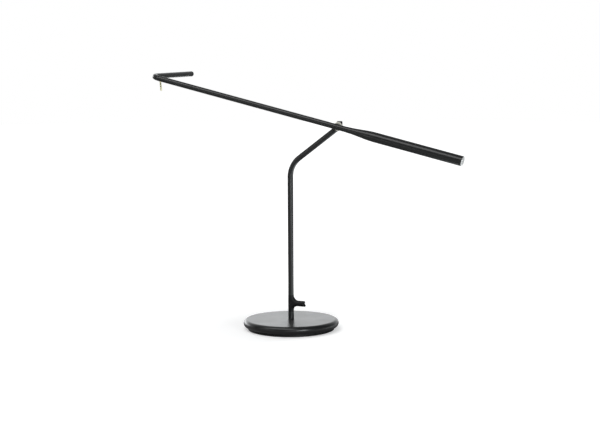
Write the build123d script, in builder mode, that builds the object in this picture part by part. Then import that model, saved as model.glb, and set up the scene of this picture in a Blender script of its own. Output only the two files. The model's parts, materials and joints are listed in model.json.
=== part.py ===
from build123d import *
import os
from math import cos, pi, radians, sin, tan

# Counterweight balance desk lamp, in millimetres. The origin is the centre of the base's underside.
# +X runs in the plane of the bent stem, towards the counterweight, +Y is the way the head points
# and +Z is up.

os.makedirs("parts", exist_ok=True)

# ---- driving dimensions: tubes and fits -----------------------------------------------------
tube_radius = 6.6  # stem, arm and head are cut from one tube
tube_wall = 1.0
spigot_gap = 0.05  # radial gap of a bonded spigot in its tube
run_gap = 0.04  # radial gap of a turning fit
face_gap = 0.05  # axial gap between faces that turn past each other
slip_gap = 0.2  # radial gap of a hole that something only passes through
screw_groove_gap = 0.3  # from a set screw's tip to the floor of its groove
groove_side_gap = 0.4  # from a set screw's side to the side of its groove

# ---- driving dimensions: base ---------------------------------------------------------------
base_radius = 113.0
base_height = 25.0
plinth_setback = 10.5  # rim to plinth edge
plinth_height = 6.6
plinth_edge_fillet = 0.6
cover_wall = 2.0
cover_lip = 1.5  # width of the cover's lower lip on the plinth
weight_gap = 0.5
pad_thickness = 2.0
pad_stand = 0.8  # how far the pad lifts the plinth off the table
pad_margin = 2.5  # plinth edge to pad edge
base_screw_radius = 2.0
base_screw_head_radius = 4.0
base_screw_head_height = 2.0
base_screw_length = 12.0
base_screw_inset = 22.5  # plinth edge to the screws' circle
base_screw_count = 4

# ---- driving dimensions: swivel -------------------------------------------------------------
collar_radius = 7.0
collar_height = 16.8
collar_edge_fillet = 0.3
shank_radius = 6.0
nut_pocket_radius = 14.0
nut_pocket_depth = 9.0
nut_flats_radius = 9.5
nut_height = 5.5
socket_washer_radius = 12.0
socket_washer_thickness = 1.6
spindle_radius = 3.0
spindle_depth = 27.0  # spindle below the collar's top
spindle_head_radius = 4.0
spindle_head_length = 8.5
swivel_bush_wall = 0.8
bush_end_gap = 0.5
thrust_washer_thickness = 0.8
thrust_washer_margin = 0.6
socket_screw_radius = 1.5
socket_screw_drop = 10.8  # collar top to the set screw's axis

# ---- driving dimensions: cord outlet --------------------------------------------------------
outlet_step = 0.2  # the outlet stands proud of the stem tube by this much
outlet_bottom_edge = 0.4
outlet_spigot_length = 15.0
stub_height = 62.8  # axis of the stub above the table
stub_length = 35.1  # stem axis to the middle of the mouth
stub_upper_bend = 19.4  # centre-line radii of the two webs beside the stub
stub_lower_bend = 15.8
mouth_slant = 10.0  # the lower lip stands further out, in degrees
mouth_notch_radius = 3.2
mouth_notch_depth = 2.2
stub_wall = 1.4
gland_bore_radius = 3.0
gland_length = 12.0
gland_setback = 3.5
lead_radius = 1.7
lead_channel_gap = 0.7
outlet_lead_bend = 14.0

# ---- driving dimensions: stem ---------------------------------------------------------------
stem_bend_height = 391.6  # where the two centre lines of the stem tube meet
stem_lean = 53.4  # inclined run, in degrees from the vertical
stem_bend_radius = 55.0
pivot_reach = 126.2  # pivot from the upright stem, along X
tube_end_setback = 13.0  # stem tube's end to the pivot, along the incline
knuckle_spigot_length = 16.0
barrel_step = 0.3  # the barrel stands proud of the stem tube by this much
barrel_above = 12.0
barrel_below = 9.0
barrel_top_fillet = 2.5
barrel_bottom_fillet = 1.0
pivot_boss_radius = 7.2
pivot_boss_proud = 1.7  # barrel's side to the boss's flat face
knuckle_lead_bend = 5.0

# ---- driving dimensions: tilt pivot ---------------------------------------------------------
arm_offset = 19.7  # stem plane to the arm's axis
trunnion_radius = 4.0
trunnion_tip_past_wall = 0.9  # trunnion's end inside the arm tube's wall
friction_disc_radius = 10.5
friction_disc_thickness = 1.4
arm_boss_radius = 7.6
arm_boss_reach = 6.0  # how far the saddle wraps round the arm tube
pivot_bush_wall = 0.9
pivot_screw_radius = 1.0

# ---- driving dimensions: arm and counterweight ----------------------------------------------
arm_tilt = 12.88  # the head end stands higher, in degrees
head_reach = 498.0  # pivot to the corner, where the centre lines of arm and head meet
weight_reach = 314.1  # pivot to the counterweight's end
arm_lead_radius = 1.6
arm_lead_end_gap = 0.1
arm_lead_bend = 4.4
shell_start = 26.5
shell_taper_end = 98.0
shell_lip = 0.3  # edge of the shell's thin end over the arm tube
shell_radius = 11.7
shell_wall = 1.5
arm_tube_end = 112.0
end_plug_length = 6.6
end_plug_spigot = 5.0
end_disc_margin = 0.7  # disc's edge to the plug's edge
end_disc_thickness = 1.6
end_disc_proud = 0.4
end_disc_fillet = 0.3
slug_length = 69.0
slug_gap = 0.1

# ---- driving dimensions: head ---------------------------------------------------------------
head_length = 202.0  # corner to the end cap's face
head_roll = 5.5  # the lamp faces down and this much towards +X, in degrees
elbow_bend_radius = 23.0  # centre line of the bend between arm and head
elbow_arm_run = 5.0  # bend's end to the arm tube's end
elbow_head_run = 2.0  # bend's end to the roll joint's face
elbow_spigot_length = 15.0
elbow_channel_radius = 2.0
roll_face_gap = 0.3
roll_spigot_radius = 3.5
roll_spigot_length = 11.0
roll_bush_length = 8.5
roll_screw_radius = 1.0
roll_screw_setback = 6.0  # roll joint's face to the set screw's axis
holder_gap = 0.5
holder_length = 9.0
pin_setback = 3.2  # holder's start to the brass pin's axis
pin_radius = 2.0
pin_thread_radius = 1.5
pin_thread_start = 2.4
pin_reach = 36.3  # head axis to the pin's tip
pin_tip_fillet = 0.8
pin_neck_wall = 0.3
pin_neck_proud = 0.35
head_lead_radius = 1.3
head_lead_gap = 0.3
connector_length = 5.0
connector_width = 5.0
connector_above = 1.5
board_setback = 2.0  # pin holder's end to the board
board_width = 7.0
board_thickness = 1.0
board_level = 1.0  # head axis to the board's upper face
board_end_margin = 11.0
bar_margin = 0.5
chip_length = 3.5
chip_width = 2.8
chip_thickness = 0.7
chip_pitch = 11.5
chip_first = 8.0
slot_width = 7.4
slot_setback = 5.5  # board's start to the slot
slot_end_margin = 11.0
diffuser_gap = 0.1
diffuser_level = 3.3
diffuser_inset = 0.05
end_cap_length = 3.6
end_cap_fillet = 1.2
end_cap_spigot = 6.0

# ---- derived values -------------------------------------------------------------------------
tube_bore = tube_radius - tube_wall
spigot_radius = tube_bore - spigot_gap

plinth_radius = base_radius - plinth_setback
base_screw_circle = plinth_radius - base_screw_inset
rim_radius = (base_height - plinth_height) / 2
rim_centre = base_radius - rim_radius
rim_level = plinth_height + rim_radius
lip_radius = plinth_radius - cover_lip
weight_radius = lip_radius - weight_gap
weight_top = base_height - cover_wall
pad_radius = plinth_radius - pad_margin

collar_top = base_height + collar_height
socket_floor = collar_top - spindle_depth - bush_end_gap
nut_pocket_top = plinth_height + nut_pocket_depth
washer_bottom = nut_pocket_top - socket_washer_thickness
nut_bottom = washer_bottom - nut_height
socket_bore = spindle_radius + run_gap + swivel_bush_wall
thrust_washer_top = collar_top + thrust_washer_thickness
outlet_bottom = thrust_washer_top + face_gap
socket_screw_level = collar_top - socket_screw_drop
spindle_groove_radius = spindle_radius - 2 * screw_groove_gap
socket_screw_tip = spindle_groove_radius + screw_groove_gap

outlet_radius = tube_radius + outlet_step
outlet_top = stub_height + stub_upper_bend + slip_gap
lower_web_level = stub_height - stub_lower_bend
channel_radius = lead_radius + lead_channel_gap
gland_outer_radius = outlet_radius - stub_wall
gland_outer_end = stub_length - gland_setback
gland_inner_end = gland_outer_end - gland_length

lean = radians(stem_lean)
incline = Vector(sin(lean), 0, cos(lean))
pivot = Vector(pivot_reach, 0, stem_bend_height + pivot_reach / tan(lean))
tube_end = pivot - incline * tube_end_setback

barrel_radius = tube_radius + barrel_step
pivot_boss_face = barrel_radius + pivot_boss_proud
disc_face = pivot_boss_face + friction_disc_thickness
arm_boss_face = disc_face + face_gap
arm_wall_face = arm_offset - tube_radius
trunnion_end = arm_wall_face + trunnion_tip_past_wall
trunnion_bore = channel_radius
boss_bore = trunnion_radius + run_gap
pivot_groove_radius = trunnion_radius - 2 * screw_groove_gap
pivot_screw_level = (arm_boss_face + arm_wall_face) / 2
pivot_screw_tip = pivot_groove_radius + screw_groove_gap

tilt = radians(arm_tilt)
arm_dir = Vector(cos(tilt), 0, -sin(tilt))
arm_up = Vector(sin(tilt), 0, cos(tilt))
away = Vector(0, 1, 0)
arm_pivot = pivot - away * arm_offset
corner = arm_pivot - arm_dir * head_reach
elbow_leg = elbow_bend_radius + elbow_arm_run
arm_tube_start = head_reach - elbow_leg

shell_start_radius = tube_radius + spigot_gap + shell_lip
plug_face = weight_reach - end_disc_proud
plug_shoulder = plug_face - end_plug_length
plug_inner_end = plug_shoulder - end_plug_spigot
shell_bore = shell_radius - shell_wall
end_disc_radius = shell_radius - end_disc_margin

roll = radians(head_roll)
head_down = Vector(sin(roll), 0, -cos(roll))
head_side = Vector(cos(roll), 0, sin(roll))
elbow_head_leg = elbow_bend_radius + elbow_head_run
head_tube_start = elbow_head_leg + roll_face_gap
head_tube_end = head_length - end_cap_length
roll_spigot_end = elbow_head_leg + roll_spigot_length
roll_groove_radius = roll_spigot_radius - 2 * screw_groove_gap
roll_screw_station = elbow_head_leg + roll_screw_setback
holder_start = roll_spigot_end + holder_gap
holder_end = holder_start + holder_length
pin_distance = holder_start + pin_setback
neck_radius = pin_radius + pin_neck_wall
neck_face = tube_radius + pin_neck_proud
board_start = holder_end + board_setback
board_end = head_length - board_end_margin
bar_start = board_start + connector_length + bar_margin
slot_start = board_start + slot_setback
slot_end = head_length - slot_end_margin
board_face = board_level + board_thickness


def stem_point(height):
    """Point on the upright stem's axis."""
    return Vector(0, 0, height)


def arm_plane(station):
    """Plane square to the arm, at a distance from the pivot, counted towards the counterweight."""
    return Plane(arm_pivot + arm_dir * station, x_dir=away, z_dir=arm_dir)


def head_plane(station):
    """Plane square to the head, at a distance from the corner; its second axis points down."""
    return Plane(corner + away * station, x_dir=head_side, z_dir=away)


def pivot_plane(distance):
    """Plane square to the tilt axis, at a distance from the stem's plane, facing the arm."""
    return Plane(pivot - away * distance, x_dir=arm_dir, z_dir=-away)


def rod(plane, radius, length, mode=Mode.ADD):
    """Cylinder that starts on a plane and runs along its normal."""
    with BuildSketch(plane) as section:
        Circle(radius)
    extrude(section.sketch, amount=length, mode=mode)


def ring(plane, outer, inner, length):
    """Tube that starts on a plane and runs along its normal."""
    with BuildSketch(plane) as section:
        Circle(outer)
        Circle(inner, mode=Mode.SUBTRACT)
    extrude(section.sketch, amount=length)


def piped(points, radii, radius, mode=Mode.ADD):
    """Round bar of a radius along straight runs joined by tangent arcs; gives the path's length."""
    with BuildLine() as route:
        FilletPolyline(*points, radius=radii)
    path = route.wires()[0]
    with BuildSketch(Plane(path @ 0, z_dir=path % 0)) as section:
        Circle(radius)
    sweep(section.sketch, path=path, mode=mode)
    return path.length


def groove(plane, outer, inner, width):
    """Round groove cut from a plane along its normal."""
    with BuildSketch(plane) as section:
        Circle(outer)
        Circle(inner, mode=Mode.SUBTRACT)
    extrude(section.sketch, amount=width, mode=Mode.SUBTRACT)


def finish(builder, name):
    builder.part.label = name
    export_step(builder.part, f"parts/{name}.step")


# ---- base -----------------------------------------------------------------------------------
with BuildPart() as base_cover:
    with BuildSketch(Plane.XZ):
        with BuildLine():
            ThreePointArc(
                (rim_centre, plinth_height), (base_radius, rim_level), (rim_centre, base_height)
            )
            Polyline(
                (rim_centre, base_height),
                (shank_radius + slip_gap, base_height),
                (shank_radius + slip_gap, weight_top),
                (rim_centre, weight_top),
            )
            ThreePointArc(
                (rim_centre, weight_top),
                (base_radius - cover_wall, rim_level),
                (rim_centre, plinth_height + cover_wall),
            )
            Polyline(
                (rim_centre, plinth_height + cover_wall),
                (lip_radius, plinth_height + cover_wall),
                (lip_radius, plinth_height),
                (rim_centre, plinth_height),
            )
        make_face()
    revolve(axis=Axis.Z)
finish(base_cover, "base_cover")

with BuildPart() as base_weight:
    rod(Plane.XY.offset(plinth_height), weight_radius, weight_top - plinth_height)
    rod(Plane.XY.offset(plinth_height), nut_pocket_radius, nut_pocket_depth, Mode.SUBTRACT)
    rod(Plane.XY.offset(nut_pocket_top), shank_radius + slip_gap, base_height, Mode.SUBTRACT)
    with BuildSketch(Plane.XY.offset(plinth_height)):
        with PolarLocations(base_screw_circle, base_screw_count):
            Circle(base_screw_radius)
    extrude(amount=pad_thickness + base_screw_length - plinth_height, mode=Mode.SUBTRACT)
finish(base_weight, "base_weight")

with BuildPart() as base_plate:
    rod(Plane.XY.offset(pad_stand), plinth_radius, plinth_height - pad_stand)
    fillet(base_plate.edges().group_by(Axis.Z)[0], plinth_edge_fillet)
    rod(Plane.XY.offset(pad_stand), pad_radius + slip_gap, pad_thickness - pad_stand, Mode.SUBTRACT)
    with Locations(Plane(origin=(0, 0, pad_thickness), z_dir=(0, 0, -1))):
        with PolarLocations(base_screw_circle, base_screw_count):
            CounterSinkHole(
                base_screw_radius + slip_gap, base_screw_head_radius + slip_gap, plinth_height
            )
finish(base_plate, "base_plate")

with BuildPart() as foot_pad:
    rod(Plane.XY, pad_radius, pad_thickness)
finish(foot_pad, "foot_pad")

with BuildPart() as base_screws:
    with PolarLocations(base_screw_circle, base_screw_count):
        with Locations((0, 0, pad_thickness)):
            Cylinder(
                base_screw_radius, base_screw_length, align=(Align.CENTER, Align.CENTER, Align.MIN)
            )
            Cone(
                base_screw_head_radius,
                base_screw_radius,
                base_screw_head_height,
                align=(Align.CENTER, Align.CENTER, Align.MIN),
            )
finish(base_screws, "base_screws")

# ---- swivel ---------------------------------------------------------------------------------
screw_side = Plane(stem_point(socket_screw_level), x_dir=(1, 0, 0), z_dir=away)

with BuildPart() as stem_socket:
    rod(Plane.XY.offset(base_height), collar_radius, collar_height)
    fillet(stem_socket.edges().group_by(Axis.Z)[-1], collar_edge_fillet)
    rod(Plane.XY.offset(nut_bottom), shank_radius, base_height - nut_bottom)
    rod(Plane.XY.offset(socket_floor), socket_bore, collar_top, Mode.SUBTRACT)
    rod(screw_side, socket_screw_radius, base_height, Mode.SUBTRACT)
finish(stem_socket, "stem_socket")

with BuildPart() as socket_washer:
    ring(
        Plane.XY.offset(washer_bottom),
        socket_washer_radius,
        shank_radius + slip_gap,
        socket_washer_thickness,
    )
finish(socket_washer, "socket_washer")

with BuildPart() as socket_nut:
    with BuildSketch(Plane.XY.offset(nut_bottom)):
        RegularPolygon(nut_flats_radius, 6, major_radius=False)
        Circle(shank_radius, mode=Mode.SUBTRACT)
    extrude(amount=nut_height)
finish(socket_nut, "socket_nut")

with BuildPart() as swivel_bush:
    ring(
        Plane.XY.offset(socket_floor),
        socket_bore,
        spindle_radius + run_gap,
        collar_top - socket_floor,
    )
    rod(screw_side, socket_screw_radius, collar_radius, Mode.SUBTRACT)
finish(swivel_bush, "swivel_bush")

with BuildPart() as socket_screw:
    rod(
        screw_side.offset(socket_screw_tip),
        socket_screw_radius,
        collar_radius - collar_edge_fillet - socket_screw_tip,
    )
finish(socket_screw, "socket_screw")

with BuildPart() as thrust_washer:
    ring(
        Plane.XY.offset(collar_top),
        outlet_radius - thrust_washer_margin,
        spindle_radius + slip_gap,
        thrust_washer_thickness,
    )
finish(thrust_washer, "thrust_washer")

with BuildPart() as swivel_spindle:
    rod(
        Plane.XY.offset(collar_top - spindle_depth),
        spindle_radius,
        outlet_bottom - collar_top + spindle_depth,
    )
    rod(Plane.XY.offset(outlet_bottom), spindle_head_radius, spindle_head_length)
    groove(
        Plane.XY.offset(socket_screw_level - socket_screw_radius - groove_side_gap),
        spindle_head_radius,
        spindle_groove_radius,
        2 * (socket_screw_radius + groove_side_gap),
    )
finish(swivel_spindle, "swivel_spindle")

# ---- cord outlet ----------------------------------------------------------------------------
mouth = Plane(
    (stub_length, 0, stub_height),
    x_dir=(0, 1, 0),
    z_dir=(cos(radians(mouth_slant)), 0, sin(radians(mouth_slant))),
)

with BuildPart() as cord_outlet:
    rod(Plane.XY.offset(outlet_bottom), outlet_radius, outlet_top - outlet_bottom)
    fillet(cord_outlet.edges().group_by(Axis.Z)[0], outlet_bottom_edge)
    rod(
        Plane(stem_point(stub_height), z_dir=(1, 0, 0)),
        outlet_radius,
        stub_length + outlet_radius,
    )
    piped(
        [
            stem_point(stub_height + stub_upper_bend),
            stem_point(stub_height),
            (stub_length, 0, stub_height),
        ],
        stub_upper_bend - face_gap / 10,
        outlet_radius,
    )
    piped(
        [stem_point(lower_web_level), stem_point(stub_height), (stub_length, 0, stub_height)],
        stub_lower_bend - face_gap / 10,
        outlet_radius,
    )
    split(bisect_by=mouth, keep=Keep.BOTTOM)
    with BuildSketch(Plane.XZ) as notch:
        with Locations((stub_length + mouth_notch_radius - mouth_notch_depth, stub_height)):
            Circle(mouth_notch_radius)
    extrude(amount=outlet_radius, both=True, mode=Mode.SUBTRACT)
    rod(
        Plane((gland_inner_end, 0, stub_height), z_dir=(1, 0, 0)),
        gland_outer_radius,
        stub_length,
        Mode.SUBTRACT,
    )
    rod(Plane.XY.offset(outlet_top), spigot_radius, outlet_spigot_length)
    piped(
        [
            (gland_outer_end, 0, stub_height),
            stem_point(stub_height),
            stem_point(outlet_top + outlet_spigot_length),
        ],
        outlet_lead_bend,
        channel_radius,
        Mode.SUBTRACT,
    )
    rod(Plane.XY.offset(outlet_bottom), spindle_head_radius, spindle_head_length, Mode.SUBTRACT)
finish(cord_outlet, "cord_outlet")

with BuildPart() as cord_gland:
    ring(
        Plane((gland_inner_end, 0, stub_height), z_dir=(1, 0, 0)),
        gland_outer_radius,
        gland_bore_radius,
        gland_length,
    )
finish(cord_gland, "cord_gland")

# ---- stem -----------------------------------------------------------------------------------
with BuildPart() as stem_tube:
    stem_points = [stem_point(outlet_top), stem_point(stem_bend_height), tube_end]
    stem_run = piped(stem_points, stem_bend_radius, tube_radius)
    piped(stem_points, stem_bend_radius, tube_bore, Mode.SUBTRACT)
finish(stem_tube, "stem_tube")

incline_at_end = Plane(tube_end, x_dir=away, z_dir=incline)

with BuildPart() as stem_knuckle:
    rod(Plane(pivot - stem_point(barrel_below)), barrel_radius, barrel_above + barrel_below)
    fillet(stem_knuckle.edges().group_by(Axis.Z)[-1], barrel_top_fillet)
    fillet(stem_knuckle.edges().group_by(Axis.Z)[0], barrel_bottom_fillet)
    rod(incline_at_end, tube_radius, tube_end_setback)
    rod(incline_at_end.offset(-knuckle_spigot_length), spigot_radius, knuckle_spigot_length)
    rod(pivot_plane(0), pivot_boss_radius, pivot_boss_face)
    rod(pivot_plane(0), trunnion_radius, trunnion_end)
    groove(
        pivot_plane(pivot_screw_level - pivot_screw_radius - groove_side_gap),
        pivot_boss_radius,
        pivot_groove_radius,
        2 * (pivot_screw_radius + groove_side_gap),
    )
    piped(
        [tube_end - incline * knuckle_spigot_length, pivot, pivot - away * trunnion_end],
        knuckle_lead_bend,
        trunnion_bore,
        Mode.SUBTRACT,
    )
finish(stem_knuckle, "stem_knuckle")

with BuildPart() as friction_disc:
    ring(
        pivot_plane(pivot_boss_face),
        friction_disc_radius,
        trunnion_radius + run_gap,
        friction_disc_thickness,
    )
finish(friction_disc, "friction_disc")

with BuildPart() as supply_lead:
    supply_run = piped(
        [
            (gland_inner_end, 0, stub_height),
            stem_point(stub_height),
            stem_point(stem_bend_height),
            pivot,
            pivot - away * trunnion_end,
        ],
        [outlet_lead_bend, stem_bend_radius, knuckle_lead_bend],
        lead_radius,
    )
finish(supply_lead, "supply_lead")

# ---- arm ------------------------------------------------------------------------------------
screw_below_arm = Plane(pivot - away * pivot_screw_level, x_dir=arm_dir, z_dir=-arm_up)

with BuildPart() as arm_boss:
    ring(
        pivot_plane(arm_boss_face),
        arm_boss_radius,
        boss_bore + pivot_bush_wall,
        arm_wall_face - arm_boss_face + arm_boss_reach,
    )
    rod(arm_plane(-arm_boss_radius), tube_radius, 2 * arm_boss_radius, Mode.SUBTRACT)
    rod(screw_below_arm, pivot_screw_radius, arm_boss_radius, Mode.SUBTRACT)
finish(arm_boss, "arm_boss")

with BuildPart() as pivot_bush:
    ring(
        pivot_plane(arm_boss_face),
        boss_bore + pivot_bush_wall,
        boss_bore,
        arm_wall_face - arm_boss_face,
    )
    rod(screw_below_arm, pivot_screw_radius, arm_boss_radius, Mode.SUBTRACT)
finish(pivot_bush, "pivot_bush")

with BuildPart() as pivot_screw:
    rod(
        screw_below_arm.offset(pivot_screw_tip),
        pivot_screw_radius,
        arm_boss_radius - pivot_screw_tip - face_gap,
    )
finish(pivot_screw, "pivot_screw")

with BuildPart() as arm_tube:
    ring(arm_plane(-arm_tube_start), tube_radius, tube_bore, arm_tube_start + arm_tube_end)
    rod(pivot_plane(arm_boss_face), boss_bore + slip_gap, arm_offset - arm_boss_face, Mode.SUBTRACT)
finish(arm_tube, "arm_tube")

with BuildPart() as arm_lead:
    arm_run = piped(
        [
            pivot - away * (trunnion_end + arm_lead_end_gap),
            arm_pivot,
            corner,
            corner + away * roll_spigot_end,
        ],
        [arm_lead_bend, elbow_bend_radius],
        arm_lead_radius,
    )
finish(arm_lead, "arm_lead")

# profiles of the counterweight: first axis along the arm, second axis the radius
weight_profile = Plane(arm_pivot, x_dir=arm_dir, z_dir=-away)
arm_axis = Axis(arm_pivot, arm_dir)

with BuildPart() as counterweight_shell:
    with BuildSketch(weight_profile):
        with BuildLine():
            Spline(
                (shell_start, shell_start_radius),
                (shell_taper_end, shell_radius),
                tangents=((1, 0), (1, 0)),
            )
            Polyline(
                (shell_taper_end, shell_radius),
                (plug_shoulder, shell_radius),
                (plug_shoulder, shell_bore),
                (arm_tube_end, shell_bore),
                (arm_tube_end, tube_radius + spigot_gap),
                (shell_start, tube_radius + spigot_gap),
                (shell_start, shell_start_radius),
            )
        make_face()
    revolve(axis=arm_axis)
finish(counterweight_shell, "counterweight_shell")

with BuildPart() as counterweight_slug:
    rod(arm_plane(plug_inner_end - slug_length), shell_bore - slug_gap, slug_length)
finish(counterweight_slug, "counterweight_slug")

with BuildPart() as end_plug:
    rod(arm_plane(plug_inner_end), shell_bore - spigot_gap, end_plug_spigot)
    rod(arm_plane(plug_shoulder), shell_radius, end_plug_length)
    rod(
        arm_plane(weight_reach - end_disc_thickness),
        end_disc_radius + slip_gap,
        end_disc_thickness,
        Mode.SUBTRACT,
    )
finish(end_plug, "end_plug")

with BuildPart() as end_disc:
    rod(arm_plane(weight_reach - end_disc_thickness), end_disc_radius, end_disc_thickness)
    fillet(end_disc.edges().sort_by(arm_axis)[-1], end_disc_fillet)
finish(end_disc, "end_disc")

# ---- corner and roll joint ------------------------------------------------------------------
screw_beside_head = Plane(corner + away * roll_screw_station, x_dir=away, z_dir=-head_side)

with BuildPart() as head_elbow:
    piped(
        [corner + arm_dir * elbow_leg, corner, corner + away * elbow_head_leg],
        elbow_bend_radius,
        tube_radius,
    )
    rod(arm_plane(-arm_tube_start), spigot_radius, elbow_spigot_length)
    rod(head_plane(elbow_head_leg), roll_spigot_radius, roll_spigot_length)
    groove(
        head_plane(roll_screw_station - roll_screw_radius - groove_side_gap),
        tube_radius,
        roll_groove_radius,
        2 * (roll_screw_radius + groove_side_gap),
    )
    piped(
        [
            corner + arm_dir * (elbow_leg + elbow_spigot_length),
            corner,
            corner + away * roll_spigot_end,
        ],
        elbow_bend_radius,
        elbow_channel_radius,
        Mode.SUBTRACT,
    )
finish(head_elbow, "head_elbow")

with BuildPart() as roll_bush:
    ring(
        head_plane(head_tube_start),
        tube_bore,
        roll_spigot_radius + run_gap,
        roll_bush_length,
    )
    rod(screw_beside_head, roll_screw_radius, tube_radius, Mode.SUBTRACT)
finish(roll_bush, "roll_bush")

with BuildPart() as roll_screw:
    rod(
        screw_beside_head.offset(roll_groove_radius + screw_groove_gap),
        roll_screw_radius,
        tube_radius - roll_groove_radius - screw_groove_gap - slip_gap,
    )
finish(roll_screw, "roll_screw")

# ---- head -----------------------------------------------------------------------------------
pin_plane = Plane(corner + away * pin_distance, x_dir=away, z_dir=head_down)

with BuildPart() as head_tube:
    ring(head_plane(head_tube_start), tube_radius, tube_bore, head_tube_end - head_tube_start)
    with BuildSketch(head_plane(slot_start)):
        with Locations((0, tube_bore)):
            Rectangle(slot_width, tube_radius)
    extrude(amount=slot_end - slot_start, mode=Mode.SUBTRACT)
    rod(pin_plane, neck_radius, tube_radius, Mode.SUBTRACT)
    rod(screw_beside_head, roll_screw_radius, tube_radius, Mode.SUBTRACT)
finish(head_tube, "head_tube")

with BuildPart() as pin_holder:
    rod(head_plane(holder_start), spigot_radius, holder_length)
    rod(pin_plane, neck_radius, neck_face)
    rod(head_plane(holder_start), head_lead_radius + slip_gap, holder_length, Mode.SUBTRACT)
    rod(pin_plane.offset(pin_thread_start), pin_thread_radius, neck_face, Mode.SUBTRACT)
finish(pin_holder, "pin_holder")

with BuildPart() as brass_pin:
    rod(pin_plane.offset(neck_face), pin_radius, pin_reach - neck_face)
    fillet(brass_pin.edges().sort_by(Axis(corner, head_down))[-1], pin_tip_fillet)
    rod(pin_plane.offset(pin_thread_start), pin_thread_radius, neck_face - pin_thread_start)
finish(brass_pin, "brass_pin")

with BuildPart() as head_lead:
    head_lead_start = roll_spigot_end + head_lead_gap
    head_run = board_start - head_lead_start
    rod(head_plane(head_lead_start), head_lead_radius, head_run)
finish(head_lead, "head_lead")

with BuildPart() as led_connector:
    with BuildSketch(head_plane(board_start)):
        with Locations((0, (board_level - connector_above) / 2)):
            Rectangle(connector_width, board_level + connector_above)
    extrude(amount=connector_length)
finish(led_connector, "led_connector")

with BuildPart() as led_bar:
    with BuildSketch(head_plane(bar_start)):
        Circle(spigot_radius)
        with Locations((0, board_level)):
            Rectangle(
                2 * tube_radius,
                tube_radius,
                align=(Align.CENTER, Align.MIN),
                mode=Mode.SUBTRACT,
            )
    extrude(amount=board_end - bar_start)
finish(led_bar, "led_bar")

with BuildPart() as led_board:
    with BuildSketch(head_plane(board_start)):
        with Locations((0, board_level)):
            Rectangle(board_width, board_thickness, align=(Align.CENTER, Align.MIN))
    extrude(amount=board_end - board_start)
finish(led_board, "led_board")

chip_count = int((board_end - board_start - chip_first) // chip_pitch) + 1
board_plane = Plane(
    corner + away * board_start + head_down * board_face, x_dir=away, z_dir=head_down
)
with BuildPart() as led_chips:
    with BuildSketch(board_plane):
        for index in range(chip_count):
            with Locations((chip_first + index * chip_pitch, 0)):
                Rectangle(chip_length, chip_width)
    extrude(amount=chip_thickness)
finish(led_chips, "led_chips")

with BuildPart() as diffuser:
    with BuildSketch(head_plane(slot_start + diffuser_gap)):
        with Locations((0, diffuser_level)):
            Rectangle(slot_width - 2 * diffuser_gap, tube_radius, align=(Align.CENTER, Align.MIN))
        Circle(tube_radius - diffuser_inset, mode=Mode.INTERSECT)
    extrude(amount=slot_end - slot_start - 2 * diffuser_gap)
finish(diffuser, "diffuser")

with BuildPart() as head_end_cap:
    rod(head_plane(head_tube_end), tube_radius, end_cap_length)
    fillet(head_end_cap.edges().sort_by(Axis.Y)[-1], end_cap_fillet)
    rod(head_plane(head_tube_end - end_cap_spigot), spigot_radius, end_cap_spigot)
finish(head_end_cap, "head_end_cap")

# ---- lengths of the leads and of the stem tube, as built ------------------------------------
runs = {
    "supply_lead": (supply_run, lead_radius, supply_lead),
    "arm_lead": (arm_run, arm_lead_radius, arm_lead),
    "head_lead": (head_run, head_lead_radius, head_lead),
}
for name, (length, radius, builder) in runs.items():
    section = pi * radius**2
    print(f"{name}: length {length:.1f}, volume {builder.part.volume:.1f} of {section * length:.1f}")
print(f"stem_tube: length {stem_run:.1f}")
for name, point in (("pivot", pivot), ("arm pivot", arm_pivot), ("corner", corner)):
    print(f"{name}: {point.X:.3f} {point.Y:.3f} {point.Z:.3f}")
print(f"cord inlet from x {gland_inner_end:.1f} to {gland_outer_end:.1f}")
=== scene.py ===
"""Dresses the balance lamp: camera, pale floor, soft light, finishes, and the small
pieces that its solids leave out. Metres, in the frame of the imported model: +X runs
towards the counterweight, +Y is the way the head points, +Z is up."""

import json
from math import cos, pi, radians, sin

import bmesh
import bpy
import numpy as np
from mathutils import Matrix, Vector


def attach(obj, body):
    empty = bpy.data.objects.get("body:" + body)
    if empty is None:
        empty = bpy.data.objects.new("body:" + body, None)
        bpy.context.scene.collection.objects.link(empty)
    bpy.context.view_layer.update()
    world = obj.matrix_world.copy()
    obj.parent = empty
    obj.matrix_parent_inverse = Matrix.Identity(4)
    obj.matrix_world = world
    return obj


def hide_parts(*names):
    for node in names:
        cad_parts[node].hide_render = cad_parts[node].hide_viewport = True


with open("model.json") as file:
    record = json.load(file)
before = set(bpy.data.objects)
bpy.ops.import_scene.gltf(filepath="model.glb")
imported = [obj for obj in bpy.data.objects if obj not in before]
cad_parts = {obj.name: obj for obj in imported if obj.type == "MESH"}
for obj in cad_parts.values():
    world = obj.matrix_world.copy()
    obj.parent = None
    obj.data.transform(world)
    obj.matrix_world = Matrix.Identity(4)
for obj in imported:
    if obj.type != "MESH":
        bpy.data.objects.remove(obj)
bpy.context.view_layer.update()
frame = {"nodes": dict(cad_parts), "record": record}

# ---- where the solids stand, in metres ---------------------------------------------
MM = 0.001
MICRON = 0.000001
ORIGIN = np.zeros(3)
AWAY = np.array([0.0, 1.0, 0.0])
UP = np.array([0.0, 0.0, 1.0])
TO_RIGHT = np.array([1.0, 0.0, 0.0])

PIVOT = np.array([0.1262, 0.0, 0.485324])
LEAN = radians(53.4)
INCLINE = np.array([sin(LEAN), 0.0, cos(LEAN)])

TILT = radians(12.88)
ARM_DIR = np.array([cos(TILT), 0.0, -sin(TILT)])
ARM_UP = np.array([sin(TILT), 0.0, cos(TILT)])
ARM_IN_FRONT = 19.7 * MM
CORNER_REACH = 498.0 * MM
ARM_PIVOT = PIVOT - ARM_IN_FRONT * AWAY
CORNER = ARM_PIVOT - CORNER_REACH * ARM_DIR

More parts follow.
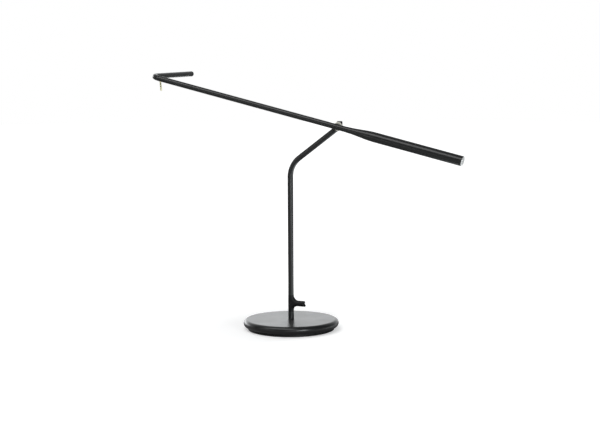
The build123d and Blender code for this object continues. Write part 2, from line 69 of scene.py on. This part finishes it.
ROLL = radians(5.5)
HEAD_DOWN = np.array([sin(ROLL), 0.0, -cos(ROLL)])
HEAD_SIDE = np.array([cos(ROLL), 0.0, sin(ROLL)])


# ---- surfaces ------------------------------------------------------------------------
def skin(name, grid, rows_join=False, crease=34):
    """Mesh over a grid of points. Point (i, j) makes a face with (i + 1, j),
    (i + 1, j + 1) and (i, j + 1); the columns run round and join up, and so do the rows
    if rows_join is true. Rows that shrink to one point close as poles. An edge that turns
    by more degrees than the crease stays sharp."""
    rows, columns = grid.shape[:2]
    i = np.arange(rows if rows_join else rows - 1)[:, None]
    j = np.arange(columns)[None, :]
    next_i, next_j = (i + 1) % rows, (j + 1) % columns
    faces = [
        i * columns + j,
        i * columns + next_j,
        next_i * columns + next_j,
        next_i * columns + j,
    ]
    faces = np.stack(np.broadcast_arrays(*faces), -1).reshape(-1, 4)
    mesh = bpy.data.meshes.new(name)
    mesh.from_pydata(grid.reshape(-1, 3).tolist(), [], faces.tolist())
    work = bmesh.new()
    work.from_mesh(mesh)
    bmesh.ops.remove_doubles(work, verts=work.verts, dist=0.1 * MICRON)
    bmesh.ops.recalc_face_normals(work, faces=work.faces)
    work.to_mesh(mesh)
    work.free()
    mesh.shade_smooth()
    mesh.set_sharp_from_angle(angle=radians(crease))
    piece = bpy.data.objects.new(name, mesh)
    bpy.context.scene.collection.objects.link(piece)
    return piece


def rounded(corners, radii, steps=7):
    """Profile through the corners, with an arc in each corner that has a radius: the arc
    is the quadratic curve from one tangent point over the corner to the other one."""
    corners = np.asarray(corners, float)
    share = np.linspace(0, 1, steps)[:, None]
    profile = [corners[:1]]
    for before, corner, after, radius in zip(
        corners[:-2], corners[1:-1], corners[2:], radii
    ):
        if not radius:
            profile.append(corner[None])
            continue
        start = corner + radius * (before - corner) / np.linalg.norm(before - corner)
        end = corner + radius * (after - corner) / np.linalg.norm(after - corner)
        profile.append(
            (1 - share) ** 2 * start + 2 * share * (1 - share) * corner + share**2 * end
        )
    profile.append(corners[-1:])
    return np.concatenate(profile)


def turned(name, profile, centre, axis, side, steps=96, rows_join=False, crease=34):
    """Profile of (radius, height) pairs in millimetres carried round an axis: a point is
    the centre + height * axis + radius * (cos t * side + sin t * cross). A radius may be
    a whole row, one value for each angle t."""
    t = np.linspace(0, 2 * pi, steps, endpoint=False)
    cross = np.cross(axis, side)
    spoke = np.cos(t)[:, None] * side + np.sin(t)[:, None] * cross
    radius = np.array([np.broadcast_to(r, steps) for r, _ in profile]) * MM
    height = np.array([h for _, h in profile], float) * MM
    grid = (
        centre + height[:, None, None] * axis + radius[:, :, None] * spoke[None, :, :]
    )
    return skin(name, grid, rows_join, crease)


def beaded(name, line, radius, steps, rows_join=False):
    """Round bead carried along a line of points: each ring is point + radius * (cos t *
    normal + sin t * binormal), with the normal square to the line and to one fixed side.
    The bead of an open line closes to a point at both ends."""
    if rows_join:
        run = np.roll(line, -1, 0) - np.roll(line, 1, 0)
    else:
        run = np.gradient(line, axis=0)
    run /= np.linalg.norm(run, axis=1)[:, None]
    runs_away = np.abs(run @ AWAY).max() >= 0.9
    normal = np.cross(run, UP if runs_away else AWAY)
    normal /= np.linalg.norm(normal, axis=1)[:, None]
    binormal = np.cross(run, normal)
    size = np.full(len(line), radius)
    if not rows_join:
        size[[0, -1]] = 0
    t = np.linspace(0, 2 * pi, steps, endpoint=False)[None, :, None]
    ring = np.cos(t) * normal[:, None] + np.sin(t) * binormal[:, None]
    grid = line[:, None] + size[:, None, None] * ring
    return skin(name, grid, rows_join, crease=60)


# ---- finishes ------------------------------------------------------------------------
class Flow:
    """One output of a node. Arithmetic on it adds the Math nodes that do the same."""

    def __init__(self, recipe, socket):
        self.recipe, self.socket = recipe, socket

    def maths(self, operation, *terms):
        return self.recipe.node(
            "ShaderNodeMath", {"operation": operation}, dict(enumerate(terms))
        )

    def __add__(self, other):
        return self.maths("ADD", self, other)

    def __radd__(self, other):
        return self.maths("ADD", other, self)

    def __sub__(self, other):
        return self.maths("SUBTRACT", self, other)

    def __rsub__(self, other):
        return self.maths("SUBTRACT", other, self)

    def __mul__(self, other):
        return self.maths("MULTIPLY", self, other)

    def __rmul__(self, other):
        return self.maths("MULTIPLY", other, self)

    def __pow__(self, other):
        return self.maths("POWER", self, other)

    def sine(self):
        return self.maths("SINE", self)

    def held(self):
        """The value kept between 0 and 1."""
        return self.maths("MINIMUM", self.maths("MAXIMUM", self, 0.0), 1.0)


class Recipe:
    """The node tree of a material or a world, built up one node at a time."""

    def __init__(self, owner):
        owner.use_nodes = True
        self.owner, self.tree = owner, owner.node_tree
        self.tree.nodes.clear()

    def node(self, kind, settings=None, inputs=None, output=0):
        """Adds a node of a type, with its settings first, then the values or flows of its
        sockets by name or number, and gives the flow of one output."""
        made = self.tree.nodes.new(kind)
        for key, value in (settings or {}).items():
            setattr(made, key, value)
        for key, value in (inputs or {}).items():
            if isinstance(value, Flow):
                self.tree.links.new(value.socket, made.inputs[key])
            else:
                made.inputs[key].default_value = value
        return Flow(self, made.outputs[output]) if len(made.outputs) else made

    def place(self):
        return self.node("ShaderNodeTexCoord", output="Object")

    def axes(self, vector):
        """The X, Y and Z of a vector."""
        parts = self.node("ShaderNodeSeparateXYZ", {}, {0: vector}).socket.node
        return [Flow(self, parts.outputs[axis]) for axis in "XYZ"]

    def length(self, vector):
        return self.node(
            "ShaderNodeVectorMath", {"operation": "LENGTH"}, {0: vector}, output="Value"
        )

    def noise(self, scale, detail, vector, **more):
        """Noise with this many cells to a metre."""
        inputs = {"Vector": vector, "Scale": scale, "Detail": detail}
        return self.node("ShaderNodeTexNoise", {}, inputs | more)

    def tint(self, share, one, other):
        """Mixes two colours by a share: sockets 0, 6 and 7 of a colour mix, output 2."""
        return self.node(
            "ShaderNodeMix",
            {"data_type": "RGBA"},
            {0: share, 6: one, 7: other},
            output=2,
        )

    def relief(self, height, distance, strength):
        return self.node(
            "ShaderNodeBump",
            {},
            {"Height": height, "Distance": distance, "Strength": strength},
        )

    def seen_and_felt(self, seen, felt):
        """What the camera sees, and what lights the lamp and shows in its gloss."""
        ray = self.node("ShaderNodeLightPath", output="Is Camera Ray")
        return self.node("ShaderNodeMixShader", {}, {0: ray, 1: felt, 2: seen})

    def surface(self, **sockets):
        """Closes the recipe with its shader; names of sockets use _ for a space."""
        inputs = {key.replace("_", " "): value for key, value in sockets.items()}
        shader = self.node("ShaderNodeBsdfPrincipled", {}, inputs)
        self.node("ShaderNodeOutputMaterial", {}, {"Surface": shader})
        return self.owner


def new_recipe(name):
    return Recipe(bpy.data.materials.new(name))


def grey(value):
    return (value, value, value, 1.0)


def satin_paint(name, deep, pale, gloss):
    """Baked satin paint: a fine orange peel about 0.7 mm wide, a finer grain in it, and a
    gloss that drifts slowly from place to place."""
    r = new_recipe(name)
    place = r.place()
    peel = r.noise(1400, 2.5, place)
    grain = r.noise(5200, 1.0, place)
    drift = r.noise(24, 3.0, place)
    height = peel + 0.35 * grain
    colour = r.tint((0.55 * drift + 0.45 * grain).held(), deep, pale)
    return r.surface(
        Base_Color=colour,
        Roughness=gloss + 0.1 * (drift - 0.5) + 0.08 * (grain - 0.5),
        Normal=r.relief(height, 10 * MICRON, 0.55),
        Specular_IOR_Level=0.42,
    )


def moulded_plastic(name, deep, pale):
    """Matt black moulding: the spark-eroded grain of its mould, and faint flow marks."""
    r = new_recipe(name)
    place = r.place()
    grain = r.noise(2600, 3.0, place)
    flow = r.noise(60, 2.0, place, Distortion=1.2)
    return r.surface(
        Base_Color=r.tint(flow, deep, pale),
        Roughness=0.46 + 0.12 * grain + 0.06 * (flow - 0.5),
        Normal=r.relief(grain, 30 * MICRON, 0.6),
        Specular_IOR_Level=0.26,
    )


def soft_rubber(name, deep, bloomed):
    """Black rubber: pores, a dusty bloom, and a dull, even gloss."""
    r = new_recipe(name)
    place = r.place()
    pores = r.noise(1700, 4.0, place)
    bloom = r.noise(90, 5.0, place)
    return r.surface(
        Base_Color=r.tint(bloom, deep, bloomed),
        Roughness=0.74 + 0.16 * (bloom - 0.5),
        Normal=r.relief(pores, 50 * MICRON, 0.7),
        Specular_IOR_Level=0.3,
    )


def turned_metal(name, dark, light, gloss, centre, axis_turn, pitch):
    """Metal faced on a lathe: ridges round an axis through the centre, as the sine of the
    distance from that axis over the pitch, broken up by a little noise."""
    r = new_recipe(name)
    place = r.place()
    local = r.node(
        "ShaderNodeMapping",
        {"vector_type": "TEXTURE"},
        {"Vector": place, "Location": centre, "Rotation": axis_turn},
    )
    flat = r.node(
        "ShaderNodeVectorMath",
        {"operation": "MULTIPLY"},
        {0: local, 1: (1.0, 1.0, 0.0)},
    )
    scatter = r.noise(900, 2.0, place)
    stain = r.noise(140, 3.0, place)
    ridges = (r.length(flat) * (2 * pi / pitch) + 5.0 * scatter).sine()
    return r.surface(
        Base_Color=r.tint(stain, dark, light),
        Metallic=1.0,
        Roughness=gloss + 0.08 * (stain - 0.5) + 0.03 * ridges,
        Normal=r.relief(ridges, 4 * MICRON, 0.5),
    )


def drawn_metal(name, dark, light, gloss, grain_scale, stretch):
    """Drawn or brushed metal: noise stretched along one axis into fine lines."""
    r = new_recipe(name)
    place = r.place()
    local = r.node("ShaderNodeMapping", {}, {"Vector": place, "Scale": stretch})
    lines = r.noise(grain_scale, 2.0, local)
    stain = r.noise(110, 3.0, place)
    return r.surface(
        Base_Color=r.tint(stain, dark, light),
        Metallic=1.0,
        Roughness=gloss + 0.1 * (stain - 0.5) + 0.1 * (lines - 0.5),
        Normal=r.relief(lines, 6 * MICRON, 0.5),
    )


def cast_iron(name, scale, rubbed):
    """Cast weight: sand-cast pits, dark scale, and paler rubbed patches."""
    r = new_recipe(name)
    place = r.place()
    sand = r.noise(800, 4.0, place)
    patches = r.noise(45, 4.0, place)
    return r.surface(
        Base_Color=r.tint(patches, scale, rubbed),
        Metallic=0.85,
        Roughness=0.55 + 0.2 * (patches - 0.5),
        Normal=r.relief(sand, 100 * MICRON, 0.8),
    )


def plain_moulding(name, dark, light, gloss, skin_depth=20 * MICRON):
    """Plain moulded or extruded plastic: a slow cloud in its colour and a fine skin."""
    r = new_recipe(name)
    place = r.place()
    cloud = r.noise(150, 3.0, place)
    fine = r.noise(2300, 2.0, place)
    return r.surface(
        Base_Color=r.tint(cloud, dark, light),
        Roughness=gloss + 0.1 * (fine - 0.5),
        Normal=r.relief(fine, skin_depth, 0.5),
    )


FINISH = {
    "satin_black": satin_paint(
        "satin_black_paint",
        deep=(0.0085, 0.0088, 0.009, 1),
        pale=(0.0125, 0.013, 0.0132, 1),
        gloss=0.31,
    ),
    "moulded_black": moulded_plastic(
        "matt_moulding",
        deep=(0.005, 0.005, 0.0054, 1),
        pale=(0.009, 0.009, 0.0094, 1),
    ),
    "pad_rubber": soft_rubber(
        "rubber", deep=grey(0.012), bloomed=(0.03, 0.029, 0.028, 1)
    ),
    "weight_iron": cast_iron(
        "cast_weight",
        scale=(0.05, 0.048, 0.046, 1),
        rubbed=(0.13, 0.125, 0.12, 1),
    ),
    "plain_steel": drawn_metal(
        "zinc_plated_steel",
        dark=grey(0.42),
        light=(0.58, 0.57, 0.55, 1),
        gloss=0.32,
        grain_scale=700,
        stretch=(1, 1, 6),
    ),
    "bush_polymer": plain_moulding(
        "bush_plastic",
        dark=(0.62, 0.6, 0.53, 1),
        light=(0.7, 0.68, 0.6, 1),
        gloss=0.42,
    ),
    "lead_jacket": plain_moulding(
        "lead_sheath",
        dark=grey(0.02),
        light=grey(0.035),
        gloss=0.55,
        skin_depth=30 * MICRON,
    ),
    "bright_metal": turned_metal(
        "bright_end_disc",
        dark=(0.86, 0.86, 0.85, 1),
        light=(0.93, 0.93, 0.92, 1),
        gloss=0.16,
        centre=tuple(ARM_PIVOT),
        axis_turn=(0.0, radians(90) + TILT, 0.0),
        pitch=0.4 * MM,
    ),
    "pin_brass": drawn_metal(
        "turned_brass",
        dark=(0.56, 0.52, 0.3, 1),
        light=(0.68, 0.64, 0.4, 1),
        gloss=0.28,
        grain_scale=900,
        stretch=(0.25, 0.25, 4),
    ),
    "board_white": plain_moulding(
        "board_lacquer", dark=grey(0.74), light=(0.82, 0.82, 0.8, 1), gloss=0.35
    ),
    "bar_aluminium": drawn_metal(
        "milled_aluminium",
        dark=grey(0.66),
        light=grey(0.78),
        gloss=0.34,
        grain_scale=1200,
        stretch=(5, 0.15, 5),
    ),
    "chip_phosphor": plain_moulding(
        "chip_coating",
        dark=(0.82, 0.6, 0.12, 1),
        light=(0.9, 0.72, 0.22, 1),
        gloss=0.5,
        skin_depth=50 * MICRON,
    ),
    "opal": plain_moulding(
        "opal_lens",
        dark=(0.78, 0.78, 0.76, 1),
        light=(0.84, 0.84, 0.82, 1),
        gloss=0.38,
        skin_depth=10 * MICRON,
    ),
}

for row in frame["record"]["subparts"]:
    mesh = frame["nodes"][row["node"]].data
    mesh.materials.clear()
    mesh.materials.append(FINISH[row["material_slot"]])


def dress(piece, body, slot_name, stands_for=()):
    """Gives a piece the finish of a slot named in the record, attaches it to its body,
    and hides what it replaces.
    """
    piece.data.materials.append(FINISH[slot_name])
    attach(piece, body)
    if stands_for:
        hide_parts(*stands_for)


# ---- base ----------------------------------------------------------------------------
def ribbed_pad():
    """Rubber foot pad: a disc whose underside is a row of round ribs. The height at
    radius r is depth * swing^narrowing, where the swing goes from 0 to 1 and back as a
    cosine of r over one pitch; the middle and the edge are flat."""
    first_rib, last_rib, pitch, depth, narrowing = 8, 96, 4, 0.45, 0.7
    outer, edge_start, thick = 100, 98, 2
    r = np.linspace(first_rib, last_rib, 16 * (last_rib - first_rib) // pitch + 1)
    swing = 0.5 - 0.5 * np.cos(2 * pi * (r - first_rib) / pitch)
    underside = np.stack([r, depth * swing**narrowing], 1)
    edge = rounded(
        [(edge_start, 0), (outer, 0), (outer, thick), (edge_start, thick)], (0.5, 0.3)
    )
    profile = np.concatenate([[(0, 0)], underside, edge, [(0, thick)]])
    return turned("foot_pad_ribbed", profile, ORIGIN, UP, TO_RIGHT, steps=160)


def collar_fillet():
    """Paint and braze fillet round the collar's foot: a concave arc from the base's top
    to the collar's side, closed just inside both."""
    collar_radius, base_top, fillet = 7.0, 25.0, 1.1
    outer, crown, inner = collar_radius + fillet, base_top + fillet, collar_radius - 0.4
    turn = np.linspace(0, pi / 2, 9)
    arc = np.stack([outer - fillet * np.sin(turn), crown - fillet * np.cos(turn)], 1)
    closing = [(inner, crown), (inner, base_top - 0.2), (outer, base_top - 0.05)]
    profile = np.concatenate([arc, closing])
    return turned(
        "collar_fillet",
        profile,
        ORIGIN,
        UP,
        TO_RIGHT,
        steps=72,
        rows_join=True,
        crease=60,
    )


def set_screw(name, seat, axis, side, radius, start, end):
    """Cup-point set screw: a turned body with thread crests, and in its outer face a
    six-sided socket whose radius at angle t is flats / cos(t folded into a twelfth of a
    turn either side of the flat)."""
    steps, half_pitch, thread_depth, bevel = 72, 0.125, 0.1, 0.06
    t = np.linspace(0, 2 * pi, steps, endpoint=False)
    flats = 0.5 * radius
    hexagon = flats / np.cos((t + pi / 6) % (pi / 3) - pi / 6)
    crests = np.arange(start + 0.3, end - 0.25, half_pitch)
    swing = np.cos(pi * np.arange(len(crests)))
    thread = np.stack([radius - thread_depth + thread_depth * swing, crests], 1)
    body = [(0, start + 0.2), (0.5 * radius, start), (0.8 * radius, start)]
    rim = [(radius - 0.05, end - 0.2), (radius - 0.2, end), (hexagon + bevel, end)]
    recess = [(hexagon, end - bevel), (hexagon, end - 0.8), (0, end - 1.1)]
    profile = body + [tuple(row) for row in thread] + rim + recess
    return turned(name, profile, seat, axis, side, steps, crease=28)


dress(ribbed_pad(), "base", "pad_rubber", stands_for=["foot_pad"])
dress(collar_fillet(), "base", "satin_black")
socket_screw = set_screw(
    "socket_set_screw", 31 * MM * UP, AWAY, TO_RIGHT, radius=1.5, start=2.7, end=6.7
)
dress(socket_screw, "base", "plain_steel", stands_for=["socket_screw"])


# ---- stem ----------------------------------------------------------------------------
def mould_line(name, points):
    """Fine raised line where the two halves of the mould met: a bead of radius 0.11 mm
    carried along a line in the stem's plane, half sunk into the moulding."""
    return beaded(name, np.asarray(points) * MM, 0.11 * MM, steps=10)


def arc_points(centre, radius, start, end, steps=24):
    """Points centre + radius * (cos a, 0, sin a) for the angles from start to end."""
    a = np.radians(np.linspace(start, end, steps))
    return np.stack(
        [centre[0] + radius * np.cos(a), 0 * a, centre[1] + radius * np.sin(a)], 1
    )


def smooth_least(values, spread):
    """Least of several distances, with soft corners:
    -spread * log(sum exp(-v / spread))."""
    return -spread * np.log(np.exp(-np.asarray(values) / spread).sum(0))


def capped_rod(points, start, end, radius, edge):
    """Distance from points to a rod with rounded ends: in its own plane of (distance from
    the axis, distance from the middle) it is a rectangle drawn in by the edge radius."""
    axis = (end - start) / np.linalg.norm(end - start)
    half = np.linalg.norm(end - start) / 2
    offset = points - (start + end) / 2
    along = offset @ axis
    out = np.linalg.norm(offset - along[..., None] * axis, axis=-1)
    x, y = out - radius + edge, np.abs(along) - half + edge
    outside = np.hypot(np.maximum(x, 0), np.maximum(y, 0))
    return outside + np.minimum(np.maximum(x, y), 0) - edge


def knuckle_skin():
    """Painted casting of the pivot: a barrel, the stub of the incline and the cross boss,
    joined by soft fillets. Along the ray from the pivot at polar angles (a, b), the
    surface lies where the soft least of the three distances is zero; halving a span of
    reaches in millimetres finds it."""
    nearest, farthest, halvings = 2.0, 16.0, 34
    a = np.linspace(0, pi, 150)[:, None]
    b = np.linspace(0, 2 * pi, 200, endpoint=False)[None, :]
    ray = np.stack([np.sin(a) * np.cos(b), np.sin(a) * np.sin(b), np.cos(a) + 0 * b], -1)

    def gap(reach):
        points = ray * reach[..., None]
        barrel = capped_rod(points, -9.03 * UP, 12.03 * UP, radius=6.93, edge=2.2)
        stub = capped_rod(points, -12.6 * INCLINE, ORIGIN, radius=6.63, edge=0.2)
        boss = capped_rod(points, ORIGIN, -8.56 * AWAY, radius=7.23, edge=0.35)
        return smooth_least([barrel, stub, boss], spread=0.22)

    near, far = np.full(ray.shape[:2], nearest), np.full(ray.shape[:2], farthest)
    for _ in range(halvings):
        middle = (near + far) / 2
        inside = gap(middle) < 0
        near, far = np.where(inside, middle, near), np.where(inside, far, middle)
    return skin("knuckle_casting", PIVOT + MM * ray * near[..., None], crease=50)


# Lines of the outlet in the stem's plane, in millimetres: up its back, along the upper
# web and the stub's top, and along the lower web and the stub's underside.
BACK, STUB_TOP, STUB_UNDER, WEB_END = -6.8, 69.6, 56.0, 27
outlet_lines = {
    "mould_line_back": [(BACK, 0, height) for height in (43.2, 54, 66, 82)],
    "mould_line_upper": np.concatenate(
        [
            arc_points((19.4, 82.2), 12.6, 178, 270),
            [(WEB_END, 0, STUB_TOP), (33.3, 0, STUB_TOP)],
        ]
    ),
    "mould_line_lower": np.concatenate(
        [
            arc_points((15.8, 47.0), 9.0, 180, 90),
            [(WEB_END, 0, STUB_UNDER), (35.6, 0, STUB_UNDER)],
        ]
    ),
}
for line_name, line in outlet_lines.items():
    dress(mould_line(line_name, line), "stem", "moulded_black")
dress(knuckle_skin(), "stem", "satin_black")

# ---- arm -----------------------------------------------------------------------------
pivot_screw = set_screw(
    "pivot_set_screw",
    PIVOT - 11.575 * MM * AWAY,
    -ARM_UP,
    ARM_DIR,
    radius=1.0,
    start=3.7,
    end=7.55,
)
dress(pivot_screw, "arm", "plain_steel", stands_for=["pivot_screw"])

# The counterweight, in millimetres: places along the arm from the pivot, then radii.
TAPER_START, TAPER_END, BORE_END, SLEEVE_END, PLUG_END = 26.5, 98.0, 112, 307.1, 313.7
NECK_RADIUS, BORE_RADIUS, WEIGHT_RADIUS, EDGE_RADIUS = 6.65, 10.2, 11.7, 0.35


def weight_sleeve():
    """Tapered sleeve of the counterweight: along the taper the radius follows the smooth
    step 3 s^2 - 2 s^3 from the arm tube to the full bar, then runs straight to a small
    edge; the bore closes it inside."""
    thin, bar_start = 6.95, 200
    s = np.linspace(0, 1, 60)
    radius = thin + (WEIGHT_RADIUS - thin) * (3 * s**2 - 2 * s**3)
    taper = np.stack([radius, TAPER_START + (TAPER_END - TAPER_START) * s], 1)
    bar = rounded(
        [
            (WEIGHT_RADIUS, bar_start),
            (WEIGHT_RADIUS, SLEEVE_END),
            (BORE_RADIUS, SLEEVE_END),
        ],
        (EDGE_RADIUS,),
    )
    bore = [(BORE_RADIUS, BORE_END), (NECK_RADIUS, BORE_END), (NECK_RADIUS, TAPER_START)]
    lip = [(thin - 0.15, TAPER_START), (thin - 0.02, TAPER_START + 0.04)]
    profile = np.concatenate([lip, taper[1:], bar, bore])
    return turned(
        "weight_sleeve", profile, ARM_PIVOT, ARM_DIR, AWAY, steps=120, rows_join=True
    )


def weight_plug():
    """End plug: a short bar with small round edges, and a pocket for the end disc."""
    spigot, spigot_start, pocket, pocket_floor = 10.14, 302.1, 11.2, 312.5
    shoulder = rounded(
        [(spigot, SLEEVE_END), (WEIGHT_RADIUS, SLEEVE_END), (WEIGHT_RADIUS, PLUG_END)],
        (EDGE_RADIUS,),
    )
    rim = rounded(
        [(WEIGHT_RADIUS, 311), (WEIGHT_RADIUS, PLUG_END), (pocket, PLUG_END)], (0.3,)
    )
    profile = np.concatenate(
        [
            [(0, spigot_start), (spigot, spigot_start)],
            shoulder[:-1],
            rim,
            [(pocket, pocket_floor), (0, pocket_floor)],
        ]
    )
    return turned("weight_plug", profile, ARM_PIVOT, ARM_DIR, AWAY, steps=120)


dress(weight_sleeve(), "arm", "satin_black", stands_for=["counterweight_shell"])
dress(weight_plug(), "arm", "satin_black", stands_for=["end_plug"])

# ---- head ----------------------------------------------------------------------------
roll_screw = set_screw(
    "roll_set_screw",
    CORNER + 31 * MM * AWAY,
    -HEAD_SIDE,
    AWAY,
    radius=1.0,
    start=3.2,
    end=6.4,
)
dress(roll_screw, "head", "plain_steel", stands_for=["roll_screw"])


def slot_lip():
    """Rolled paint edge of the lamp's slot: a bead that follows the slot's outline on the
    tube, down both long sides at half the slot's width and across both ends along the
    tube's round, where a point at width w hangs sqrt(radius^2 - w^2) below the axis."""
    half, outer, start, end = 3.7, 6.58, 53.0, 191.0
    across = np.linspace(-half, half, 15)
    down = np.linspace(start, end, 60)[1:-1]
    width = np.concatenate([across, 0 * down + half, -across, 0 * down - half])
    station = np.concatenate([0 * across + start, down, 0 * across + end, down[::-1]])
    depth = np.sqrt(outer**2 - width**2)
    line = CORNER + MM * (
        station[:, None] * AWAY + width[:, None] * HEAD_SIDE + depth[:, None] * HEAD_DOWN
    )
    return beaded("slot_lip", line, 0.16 * MM, steps=8, rows_join=True)


dress(slot_lip(), "head", "satin_black")

# ---- camera --------------------------------------------------------------------------
IMAGE_WIDTH = 600
heading, dip, cant = radians(24.635), radians(6.833), radians(-0.289)
look = Vector((-sin(heading) * cos(dip), cos(heading) * cos(dip), -sin(dip)))
level = look.cross(Vector((0, 0, 1))).normalized()
upright = level.cross(look)
right = cos(cant) * level + sin(cant) * upright
top = cos(cant) * upright - sin(cant) * level
camera = bpy.data.objects.new("camera", bpy.data.cameras.new("camera"))
camera.data.sensor_width = 36
camera.data.lens = 94.441
camera.data.shift_x = -0.5 / IMAGE_WIDTH
camera.data.shift_y = 0.5 / IMAGE_WIDTH
camera.data.clip_start, camera.data.clip_end = 0.1, 60
turn = Matrix((right, top, -look)).transposed().to_4x4()
turn.translation = Vector((1.557421, -3.339901, 0.720493))
camera.matrix_world = turn
bpy.context.scene.collection.objects.link(camera)
bpy.context.scene.camera = camera


# ---- floor and light -------------------------------------------------------------------
def pale_floor():
    """White paper with painted light. The camera sees it glow, weakly beside the base and
    more away from it and to its right, so that a painted shade lies beside the base on
    top of the real one. To the lamp it is a dimmer copy of the paper, a painted shade for
    the lamp's undersides, apart from a painted glow on the right and behind that stands
    in for daylight from the studio's windows."""
    r = new_recipe("paper_with_painted_glow")
    place = r.place()
    fibre = r.noise(220, 3.0, place)
    away = r.length(place)
    across, back, _ = r.axes(place)

    def sheet(dark, light, lift, low, high):
        """Paper that also glows, by a share between two strengths."""
        paper = r.node("ShaderNodeBsdfDiffuse", {}, {"Color": r.tint(fibre, dark, light)})
        glow = r.node("ShaderNodeEmission", {}, {"Color": r.tint(lift, low, high)})
        return r.node("ShaderNodeAddShader", {}, {0: paper, 1: glow})

    # Painted glow seen by the camera: weak beside the base, full away from it and to its
    # right, so the floor is painted darker round the base.
    painted_glow_away_from_base = (1.9 * (away - 0.17) + 2.6 * across.held()).held()
    seen = sheet(grey(0.78), grey(0.82), painted_glow_away_from_base, grey(0.4), grey(1.0))

    # Painted glow seen only by the lamp, on the right of the base and behind it, standing
    # in for daylight from the studio's windows.
    right_of_base = (8 * across - 1.4).held()
    behind = (0.3 + 2.2 * back + 0.5 * across).held()
    not_too_far = (2.6 - 1.2 * back).held()
    painted_window_glow = right_of_base * behind * not_too_far * (1 + 0.6 * away) ** -3
    # To the lamp the paper is a darker copy, a painted shade for the lamp's undersides,
    # plus the painted glow.
    felt = sheet(grey(0.42), grey(0.46), painted_window_glow, grey(0.0), (8.2, 8.6, 8.7, 1))

    mixed = r.seen_and_felt(seen, felt)
    r.node("ShaderNodeOutputMaterial", {}, {"Surface": mixed})
    return r.owner


def studio_world():
    """White room: plain white to the camera. To the lamp it is a bright wall behind and
    to the left, at the horizon, that falls off upwards, to the right and towards the
    camera, with a brighter panel low on its far left."""
    r = Recipe(bpy.data.worlds.new("white_room"))
    across, back, high = r.axes(r.node("ShaderNodeTexCoord", output="Generated"))

    behind, leftward = (back + 0.25).held(), (0.55 - 0.9 * across).held()
    wall = behind * leftward * (1 + 6 * high * high) ** -1

    far_left, from_behind = (-2.5 * across - 1.3).held(), (2.2 * back - 0.1).held()
    above_floor, low = (8 * high).held(), (1.3 - 3.6 * high).held()
    panel = far_left * above_floor * low * from_behind

    strength = 0.06 + 2.5 * wall + 7 * panel
    room = {"Color": (0.97, 0.99, 1.0, 1), "Strength": strength}
    white = {"Color": grey(1.0), "Strength": 1.0}
    felt = r.node("ShaderNodeBackground", {}, room)
    seen = r.node("ShaderNodeBackground", {}, white)
    r.node("ShaderNodeOutputWorld", {}, {"Surface": r.seen_and_felt(seen, felt)})
    return r.owner


def soft_box(name, place, aim, size, watts, colour):
    """Area light that faces a point and isn't seen itself."""
    lamp = bpy.data.lights.new(name, "AREA")
    lamp.shape = "RECTANGLE"
    lamp.size, lamp.size_y = size
    lamp.energy, lamp.color = watts, colour
    made = bpy.data.objects.new(name, lamp)
    facing = Vector(aim) - Vector(place)
    made.rotation_euler = facing.to_track_quat("-Z", "Y").to_euler()
    made.location = place
    made.visible_camera = False
    bpy.context.scene.collection.objects.link(made)


FLOOR_RINGS = (0, 300, 600, 1200, 3000, 8000)
FLOOR_DROP = 0.02
floor_profile = [(radius, -FLOOR_DROP) for radius in FLOOR_RINGS]
floor = turned("floor", floor_profile, ORIGIN, UP, TO_RIGHT, steps=64)
floor.data.materials.append(pale_floor())

# Name, place, point it faces, width and height in metres, watts, colour.
WHITE, COOL = (1, 1, 1), (0.93, 0.98, 1)
SOFT_BOXES = [
    ("box_overhead", (-0.3, -1.3, 2.3), (0, 0, 0.35), (2.6, 1.2), 36, WHITE),
    ("box_right", (2.3, -1.8, 0.5), (0.1, 0, 0.35), (0.8, 1.4), 46, COOL),
    ("box_left", (-1.9, -1.9, 1.2), (0, 0, 0.4), (0.8, 0.8), 5, WHITE),
    ("box_front_left", (-1.6, -3.3, 0.3), (0, 0, 0.45), (0.9, 0.6), 5, WHITE),
    ("box_front_right", (1.3, -2.6, 0.2), (0, 0, 0.25), (0.9, 0.4), 4, WHITE),
]
bpy.context.scene.world = studio_world()
bpy.context.scene.view_settings.view_transform = "Standard"
for box in SOFT_BOXES:
    soft_box(*box)
